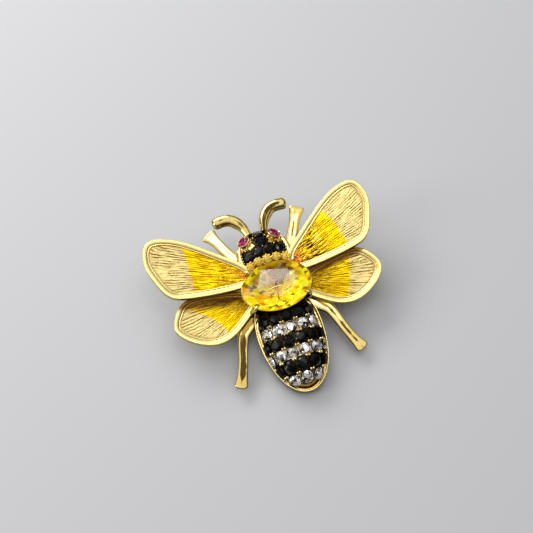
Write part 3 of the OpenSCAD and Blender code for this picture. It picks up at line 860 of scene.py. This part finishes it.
bm, top = ringed_plate(belly_edge(rim_gap + rim_t), rim_z, 0.09,
                       ((0.11, 0.0, 0), (0.04, -0.04, 0), (0.04, -0.7, 1), (0.15, 0.0, 1)))
piece(bm, "abdomen_rim", [edge_gilt, tail_gilt])

# %% Abdomen dome
# The dome stays under the backs of the stones and of the gem, whose point ends at gem_tip_z.
# The grid stops just short of the egg's edge, where the half ellipse would stand upright.
gem_a, gem_back, girdle_z, gem_tip_z = 5.6, 0.3, 4.3, 1.04
under_stones, under_gem, inner = 0.14, 0.3, 0.999
bm = bmesh.new()
bmesh.ops.create_grid(bm, x_segments=60, y_segments=90, size=0.5)
for v in bm.verts:
    y = dome_mid + dome_len * math.sin(math.pi * v.co.y) * inner
    u = math.pi * v.co.x * inner
    x = half_at(y) * math.sin(u)
    z = ledge_z - under_stones + dome_rise * swell(y) * math.cos(u)
    spread = math.hypot(x / gem_a, (y + gem_back) / gem_b)
    back_of_gem = gem_tip_z + (girdle_z - gem_tip_z) * spread
    v.co = (x, y, min(z, back_of_gem - under_gem))
face_up(bm)
clear_rows = [first_row - r * row_pitch for r in range(1, len(row_counts), 2)]
tail_end = dome_end + 0.9
# The bed is painted dark as painted shade, except under the clear rows and at the tail.
for f in bm.faces:
    y = f.calc_center_median().y
    row = min(abs(y - c) for c in clear_rows)
    f.material_index = 1 if y < tail_end else 2 if row < 0.42 * stone_d else 0
piece(bm, "abdomen_bed", [painted_shade_bed_gilt, tail_gilt, row_gilt], close=False)

# %% Beads, and places on the dome
def arc_x(a, b, way, step=0.5):
    """The x of a half ellipse, once so many mm have been walked along it from its top."""
    run = u = 0.0
    while run < way and u < 88:
        c, d = math.cos(math.radians(u)), math.sin(math.radians(u))
        run += math.radians(step) * math.hypot(a * c, b * d)
        u += step
    return a * math.sin(math.radians(u))


def slope(surface, x, y, e=0.01):
    return Vector((surface(x - e, y) - surface(x + e, y), surface(x, y - e) - surface(x, y + e),
                   2 * e)).normalized()


def bead(bm, point, radius, normal=Vector((0, 0, 1)), squash=1.0):
    way = Matrix.Translation(point) @ turned(normal) @ Matrix.Diagonal((1, 1, squash, 1))
    bmesh.ops.create_icosphere(bm, subdivisions=2, radius=radius, matrix=way)


print("walking 3 mm from the top of the dome leads to x =",
      round(arc_x(half_at(dome_mid), dome_rise, 3), 2))

# %% Bead claws between the stones of the abdomen
# Two tall beads stand side by side at each gap between two rows.
bead_r, bead_tall, bead_up, bead_out = 0.23, 1.6, 0.28, 0.21
bm = bmesh.new()
for r in range(len(row_counts) - 1):
    y = first_row - (r + 0.5) * row_pitch
    n = min(row_counts[r:r + 2]) + 1
    for i in range(n):
        s = (i - (n - 1) / 2) * stone_pitch
        if abs(s) > dome_half:
            continue
        x = math.copysign(arc_x(half_at(y), dome_rise * swell(y), abs(s)), s)
        up = slope(belly_z, x, y)
        across = Vector((up.z, 0, -up.x))
        for shift in (-bead_out, bead_out):
            bead(bm, Vector((x, y, belly_z(x, y))) + across * shift + up * bead_up, bead_r, up,
                 bead_tall)
piece(bm, "abdomen_claws", [bright_gilt])

# %% [markdown]
# ## Head
# The head is a low dome on a round base, with six dark stones, a cup for each eye and a
# raised cheek rim from each eye back to the thorax. The base and the dome are made with
# spun profiles, the cheeks with a sweep.

# %% Spun profiles
def spun(bm, profile, steps=64):
    verts = [bm.verts.new((r, 0, z)) for r, z in profile]
    edges = [bm.edges.new(pair) for pair in zip(verts, verts[1:])]
    bmesh.ops.spin(bm, geom=verts + edges, cent=(0, 0, 0), axis=(0, 0, 1), angle=2 * math.pi,
                   steps=steps, use_merge=True)
    bmesh.ops.remove_doubles(bm, verts=bm.verts, dist=0.0005)


def on_oval(degrees, a, b, z=0.0):
    u = math.radians(degrees)
    return Vector((a * math.cos(u), b * math.sin(u), z))


bm = bmesh.new()
spun(bm, [(0, 0), (1, 0), (0, 1)])
print("a spun cone has", len(bm.faces), "faces")
bm.free()

# %% Head base and dome
head_bed, head_rise = head_r - rim_t - 0.04, 0.63 * head_r
base_z, under_head_stones = 1.5, 0.12
profile = [(0, 0), (head_r - 0.4, 0), (head_r - 0.15, 0.01), (head_r - 0.04, 0.05),
           (head_r, 0.15), (head_r, 1.3), (head_r - 0.05, 1.43), (head_r - 0.15, base_z),
           (head_bed + 0.02, base_z)]
for u in range(12, 90, 6):
    p = on_oval(u, head_bed, head_rise)
    profile.append((p.x, ledge_z + p.y - under_head_stones))
bm = bmesh.new()
spun(bm, profile + [(0, ledge_z + head_rise - under_head_stones)])
head_seats = [Vector(p) * head_r for p in ((0, 0.8), (0, 0.425), (-0.232, 0.02), (0.232, 0.02),
                                           (-0.64, -0.04), (0.64, -0.04))]
# Round each stone the top of the head is painted dark: painted shade between the stones.
painted_shade_r = 1.3
for f in bm.faces:
    c = f.calc_center_median()
    near = min((c.xy - seat).length for seat in head_seats)
    f.material_index = 1 if c.z > ledge_z + 0.1 and near < painted_shade_r else 0
bmesh.ops.translate(bm, vec=(0, head_y, 0), verts=bm.verts)
piece(bm, "head_dome", [polished_gilt, painted_shade_bed_gilt])

# %% Eye cups and cheeks
def eye_seat(side):
    turn, lean = math.radians(51), math.radians(40)
    p = Vector((side * 0.615 * head_r, head_y + 0.65 * head_r, 2.6))
    n = Vector((side * math.cos(turn) * math.sin(lean), math.sin(turn) * math.sin(lean),
                math.cos(lean)))
    return p, n


# The cup's profile, as distances from the eye's edge; two points close it at the back.
eye_r = 0.95
cup = ((-0.25, -1.5), (0.02, -0.9), (0.08, -0.3), (0.13, 0.0), (0.13, 0.08), (0.09, 0.13),
       (0.05, 0.12), (0.03, 0.05), (0.02, 0.0))
for side in (-1, 1):
    bm = bmesh.new()
    spun(bm, [(0, -1.5)] + [(eye_r + r, z) for r, z in cup] + [(0.2, -0.8), (0, -0.85)], 40)
    p, n = eye_seat(side)
    bmesh.ops.transform(bm, matrix=Matrix.Translation(p) @ turned(n), verts=bm.verts)
    piece(bm, "eye_cup_" + side_names[side], [bright_gilt])

    # The cheek runs back from 28 degrees before the head's middle, with beads along its foot.
    bm = bmesh.new()
    middle = Vector((0, head_y, 0))
    cheek_r, row_r = head_r - 0.22, head_r - 0.56
    sweep(bm, [(middle + on_oval(28 - k * 6.2, side * cheek_r, cheek_r, 2.2),
                0.9 if 0 < k < 14 else 0.4, 1.0) for k in range(15)])
    for k in range(9):
        bead(bm, middle + on_oval(8 - k * 7, side * row_r, row_r, 2.6), 0.13, squash=1.2)
    piece(bm, "cheek_" + side_names[side], [bright_gilt])

# %% Bead claws between the stones of the head
def head_z(x, y):
    out = (x * x + (y - head_y) ** 2) / head_bed ** 2
    return ledge_z + head_rise * math.sqrt(max(0.0, 1 - out))


bm = bmesh.new()
for x, y in ((0.22, 0.62), (0.28, 0.27), (0, 0.18), (0.45, 0.18), (0, -0.2), (0.42, -0.22),
             (0.64, 0.22), (0.44, 0.42), (0.33, 0.5), (0.56, 0.32)):
    for side in (-1, 1) if x else (1,):
        px, py = side * x * head_r, head_y + y * head_r
        up = slope(head_z, px, py)
        bead(bm, Vector((px, py, head_z(px, py))) + up * 0.12, 0.16, up, 1.5)
piece(bm, "head_claws", [bright_gilt])

# %% [markdown]
# ## Thorax
# The oval stone sits in an open bowl. Four claws bend over its edge, and a collar of small
# scalloped petals with beads stands between it and the head. An orange shoulder lies under
# the root of each wing.

# %% Bowl of the oval stone
bm = bmesh.new()
spun(bm, [(0, 0.0), (3.3, 0.0), (3.6, 0.01), (4.1, 0.15), (4.7, 1.6), (5.2, 3.2), (5.5, 3.95),
          (5.62, 4.12), (5.66, 4.24), (5.6, 4.3), (5.45, 4.24), (5.25, 3.6), (3.0, 0.5),
          (0, 0.3)], 96)
play, lip_z = 0.06, 3.6
bmesh.ops.scale(bm, vec=(1, (gem_b + play) / (gem_a + play), 1), verts=bm.verts)
bmesh.ops.translate(bm, vec=(0, -gem_back, 0), verts=bm.verts)
# Above the lip the bowl takes the collar's gilt, tinted with painted light from the gem.
for f in bm.faces:
    f.material_index = 0 if f.calc_center_median().z > lip_z else 1
piece(bm, "thorax_bowl", [gem_lit_collar_gilt, polished_gilt])

# %% Claws of the oval stone
# A claw stands outside the girdle and bends over it; its stations are (foot, how far that
# is moved back over the stone, height, width, thickness).
bm = bmesh.new()
middle, girdle_t = Vector((0, -gem_back, 0)), 0.3
bend_z = girdle_z + girdle_t + 0.35
top_z = bend_z + 0.42
for side in (-1, 1):
    for end, angle in ((-1, 43), (1, 50)):
        edge = on_oval(angle, side * gem_a, end * gem_b)
        away = edge.normalized()
        post = edge + away * 0.5
        claw = ((edge * 0.82, 0, 1.2, 0.95, 0.95), (post, 0, 3.2, 0.85, 0.85),
                (post, 0, 4.3, 0.8, 0.8), (post, 0, bend_z, 0.78, 0.78),
                (post, 0.3, top_z, 0.72, 0.7), (edge, 0.3, top_z, 0.55, 0.5))
        sweep(bm, [(middle + foot - away * back + Vector((0, 0, z)), w, t)
                   for foot, back, z, w, t in claw], up=away)
piece(bm, "gem_claws", [bright_gilt], levels=2)

# %% Collar of five petals
# Five petals stand 13.5 degrees apart. Each has a low cushion, five beads round its outer
# half and one in the middle.
bm = bmesh.new()
reach, petal_step, bead_step = 0.78, 13.5, 50
for k in range(-2, 3):
    p = on_oval(90 + petal_step * k, gem_a + reach, gem_b + reach) - Vector((0, gem_back, 0))
    away = p.normalized()
    side_way = Vector((away.y, -away.x, 0))
    bmesh.ops.create_cone(bm, cap_ends=True, segments=20, radius1=0.5, radius2=0.62, depth=3.8,
                          matrix=Matrix.Translation(p + Vector((0, 0, 2.4))))
    bead(bm, p + Vector((0, 0, 4.3)), 0.6, squash=0.4)
    for b in range(5):
        q = on_oval(-10 + bead_step * b, 0.6, 0.48)
        bead(bm, p + away * q.y + side_way * q.x + Vector((0, 0, 4.42)), 0.21)
    bead(bm, p + away * 0.05 + Vector((0, 0, 4.52)), 0.19)
piece(bm, "collar", [gem_lit_collar_gilt])

# %% Shoulders under the wing roots
bm = bmesh.new()
for side in (-1, 1):
    for x, y, z, *half in ((4.3, 2.7, 1.9, 2.4, 1.2, 0.8), (4.2, -0.9, 1.1, 2.2, 1.2, 0.7)):
        way = Matrix.Translation((side * x, y, z)) @ Matrix.Diagonal((*half, 1))
        bmesh.ops.create_uvsphere(bm, u_segments=32, v_segments=16, radius=1, matrix=way)
bm.normal_update()
for f in bm.faces:
    f.material_index = 0 if f.normal.z > 0.1 else 1
piece(bm, "shoulders", [root_gilt, polished_gilt])

# %% [markdown]
# ## Stones
# A cheap and bright way to cut a small stone is to put a mirror behind it: light goes in
# through the clear crown, meets the foil on the pointed back and comes out again. So each
# stone keeps its CAD shape and gets two finishes, sorted by the way its facets face. The
# black stones are solid glass and need only gloss.
#
# The foil shows the mirror image of all the facets in front of it. A pattern of small flat
# cells stands for these: each has its own tone, a painted reflection, and leans its own way.
# Behind the oval stone the cells lie in rings, as its real facets do.

# %% Node groups for the small facets behind a stone
cut, given, out = field_group("small_facets", dict(Vector="Vector", Scale="Float"),
                              dict(Shade="Float", Height="Float"))
cells = node(cut, "TexVoronoi", Vector=given["Vector"], Scale=given["Scale"],
             distance="CHEBYCHEV", Randomness=0.8).outputs
from_centre = node(cut, "VectorMath", given["Vector"], cells["Position"],
                   operation="SUBTRACT").outputs["Vector"]
lean = node(cut, "VectorMath", cells["Color"], (0.5, 0.5, 0.5),
            operation="SUBTRACT").outputs["Vector"]
plane = node(cut, "VectorMath", from_centre, lean, operation="DOT_PRODUCT").outputs["Value"]
wire(cut, out, Shade=node(cut, "SeparateColor", Color=cells["Color"]).outputs["Red"],
     Height=plane)

# Position round the oval stone: X counts small facets along a ring, Y counts rings.
facets_round, rings_out = 40, 8.0
rings, given, out = field_group("facet_rings", {}, dict(Vector="Vector"))
oval = node(rings, "Mapping", Vector=in_place(rings), vector_type="TEXTURE",
            Location=place @ Vector((0, -gem_back, girdle_z)),
            Scale=(gem_a * mm, gem_b * mm, mm)).outputs["Vector"]
flat = node(rings, "VectorMath", oval, (1, 1, 0), operation="MULTIPLY").outputs["Vector"]
angle = maths(rings, "ARCTAN2", axis(rings, flat, "Y"), axis(rings, flat, "X"))
outward = node(rings, "VectorMath", flat, operation="LENGTH").outputs["Value"]
wire(rings, out, Vector=node(
    rings, "CombineXYZ", maths(rings, "MULTIPLY", angle, facets_round / (2 * math.pi)),
    maths(rings, "MULTIPLY", outward, rings_out)).outputs["Vector"])
print("node groups:", [g.name for g in bpy.data.node_groups])

# %% Node group for glass that isn't quite even, and glass
mottle, given, out = field_group("mottle", dict(Light="Color", Dull="Color", Scale="Float",
                                                Detail="Float"), dict(Color="Color"))
spots = cloud(mottle, given["Scale"], given["Detail"])
wire(mottle, out, Color=blend(mottle, spots, given["Light"], given["Dull"]))


def glass(name, tint, ior=1.6):
    m, tree, shader = material(name)
    color = group_node(tree, mottle, Light=(*tint, 1), Dull=(*(c * 0.9 for c in tint), 1),
                       Scale=500.0, Detail=2.0)["Color"]
    wire(tree, shader, Base_Color=color, Transmission_Weight=1.0, Roughness=0.0, IOR=ior)
    return m, tree, shader


def gem_ring(tree):
    return axis(tree, group_node(tree, rings)["Vector"], "Y")


# The gem gleams most on its table and towards the head, where the sky panel is mirrored.
clear_glass, *_ = glass("clear_glass", (0.96, 0.97, 1.0))
pink_glass, *_ = glass("pink_glass", (0.95, 0.12, 0.5))
yellow_glass, tree, shader = glass("yellow_glass", (1.0, 0.97, 0.4), ior=1.18)
gleam = between(tree, axis(tree, in_place(tree), "Y"), 0.0, 1.2 * mm, 0.25, 1.0)
crown = between(tree, gem_ring(tree), 4.4, 5.2, 1.0, 0.4)
wire(tree, shader, Coat_Weight=maths(tree, "MULTIPLY", gleam, crown), Coat_IOR=1.62)

black_glass, tree, shader = material("black_glass")
dust = group_node(tree, mottle, Light=(0.001, 0.001, 0.001, 1), Dull=(0.006, 0.005, 0.004, 1),
                  Scale=3000.0, Detail=3.0)
wire(tree, shader, Base_Color=dust["Color"], Roughness=0.03, IOR=1.22, Coat_IOR=1.45,
     Coat_Weight=between(tree, cloud(tree, 420.0, 0.0), 0.52, 0.58))
print("glass:", [m.name for m in (clear_glass, pink_glass, yellow_glass, black_glass)])

# %% Foil
def foil(name, tones, facet, tilt=0.8, rough=0.05, metal=1.0, painted_glow=0.0, ringed=None):
    """The mirror behind a stone. The facets are in m, or for the gem in parts of its rings.

    The gem's own foil is ringed: large facets multiply the small ones by tones of their own,
    and the far half of the part under its table is darkened to a warm grey, a painted reflection.
    The glow makes a foil shine in its own tones: painted light."""
    m, tree, shader = material(name)
    where = group_node(tree, rings)["Vector"] if ringed else in_place(tree)
    g = group_node(tree, cut, Vector=where, Scale=1 / facet)
    color = ramp(tree, g["Shade"], tones)
    if ringed:
        large = group_node(tree, cut, Vector=where, Scale=0.2)["Shade"]
        color = blend(tree, 1.0, color, ramp(tree, large, ringed), "MULTIPLY")
        # Painted reflection: a warm grey under the far half of the table.
        far = between(tree, axis(tree, in_place(tree), "Y"), 0.8 * mm, 2.2 * mm)
        table = maths(tree, "MULTIPLY", far, between(tree, gem_ring(tree), 6.7, 5.9))
        color = blend(tree, table, color, (0.5, 0.43, 0.4, 1), "MULTIPLY")
    # The glow is painted light: the foil shines in its own tones.
    wire(tree, shader, Base_Color=color, Normal=bumps(tree, g["Height"], 1.0, tilt),
         Emission_Color=color, Emission_Strength=painted_glow, Metallic=metal, Roughness=rough)
    return m


white = (1.0, 1.0, 1.0)
silver_foil = foil("silver_foil", ((0.0, (0.1, 0.07, 0.04)), (0.22, (0.68, 0.62, 0.54)),
                                   (0.5, (0.95, 0.95, 0.95)), (0.75, white)), 0.42 * mm,
                   metal=0.75)
pink_foil = foil("pink_foil", ((0.0, (0.4, 0.06, 0.2)), (0.25, (1.0, 0.5, 0.8)),
                               (0.65, (1.0, 0.8, 0.95))), 0.5 * mm, metal=0.6)
yellow_foil = foil("yellow_foil", ((0.0, (0.28, 0.19, 0.0)), (0.12, (1.0, 0.42, 0.004)),
                                   (0.21, (1.0, 0.62, 0.15)), (0.25, (1.0, 0.84, 0.003)),
                                   (0.72, (1.0, 0.97, 0.1))), 1.0, tilt=0.0008, rough=0.2,
                   metal=0.3, painted_glow=0.38,
                   ringed=((0.0, (1.0, 0.58, 0.2)), (0.22, white), (0.9, (0.5, 0.36, 0.1))))
print("foil:", [m.name for m in (silver_foil, pink_foil, yellow_foil)])

# %% Dress each stone
def up_of(name):
    if name.startswith("eye_"):
        return eye_seat(-1 if name.endswith("left") else 1)[1]
    if name == "gem":
        return Vector((0, 0, 1))
    table = max(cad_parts[name].data.polygons, key=lambda p: p.area)
    return place.to_3x3().inverted() @ table.normal


def dress(name, front, back=None):
    """The foil lies on the facets that face back; on small stones it takes the girdle too."""
    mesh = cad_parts[name].data
    mesh.materials.clear()
    mesh.materials.append(front)
    if back:
        mesh.materials.append(back)
        up = (place.to_3x3() @ up_of(name)).normalized()
        turn_away = -0.1 if name == "gem" else 0.15
        for p in mesh.polygons:
            p.material_index = 1 if p.normal.dot(up) < turn_away else 0


dark, clear = 0, 0
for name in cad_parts:
    if name.startswith("eye_"):
        dress(name, pink_glass, pink_foil)
    elif name.startswith("head_stone_") or (name.startswith("stone_")
                                            and int(name.split("_")[1]) % 2):
        dress(name, black_glass)
        dark += 1
    elif name.startswith("stone_"):
        dress(name, clear_glass, silver_foil)
        clear += 1
dress("gem", yellow_glass, yellow_foil)
dress("pin", back_gilt)
print("dark stones", dark, "clear stones", clear)
